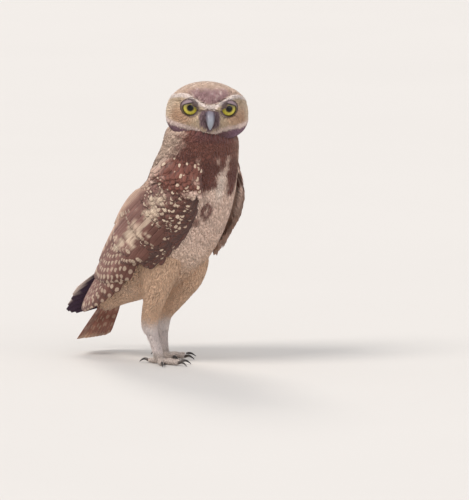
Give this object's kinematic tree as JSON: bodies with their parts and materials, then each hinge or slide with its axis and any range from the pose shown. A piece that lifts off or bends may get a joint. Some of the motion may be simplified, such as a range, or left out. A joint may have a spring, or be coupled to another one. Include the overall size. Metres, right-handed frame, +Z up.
{
  "type": "burrowing owl model",
  "caption": "Life-size still model of a young burrowing owl, standing upright on both feet with folded wings and its head turned over its right shoulder.",
  "frame": {"origin": "under the middle of the whole bird's box, at the level of its soles", "axes": "+X is the way the body faces, +Y is its left side and +Z is up, the bird's longest extent"},
  "size_m": [0.18, 0.102, 0.2281],
  "materials": {
    "head_feathers": "short soft feathers",
    "neck_feathers": "short soft feathers",
    "body_feathers": "soft down and feathers",
    "wing_feathers": "smooth overlapping vanes with pale spots",
    "tail_feathers": "smooth overlapping vanes with pale bars",
    "leg_feathers": "short soft feathers",
    "leg_skin": "matt scaly skin with sparse bristles",
    "claw": "satin horn",
    "bill": "satin horn",
    "eye": "wet gloss"
  },
  "bodies": {
    "root": {"head": "head_feathers", "bill_upper": "bill", "bill_lower": "bill", "right_eye": "eye", "left_eye": "eye", "neck": "neck_feathers", "torso": "body_feathers", "tail": "tail_feathers", "right_wing": "wing_feathers", "left_wing": "wing_feathers", "right_thigh": "leg_feathers", "left_thigh": "leg_feathers", "right_tarsus": "leg_skin", "left_tarsus": "leg_skin", "right_foot": "leg_skin", "left_foot": "leg_skin", "right_claw_inner": "claw", "right_claw_middle": "claw", "right_claw_outer": "claw", "right_claw_hind": "claw", "left_claw_inner": "claw", "left_claw_middle": "claw", "left_claw_outer": "claw", "left_claw_hind": "claw"}
  },
  "joints": []
}
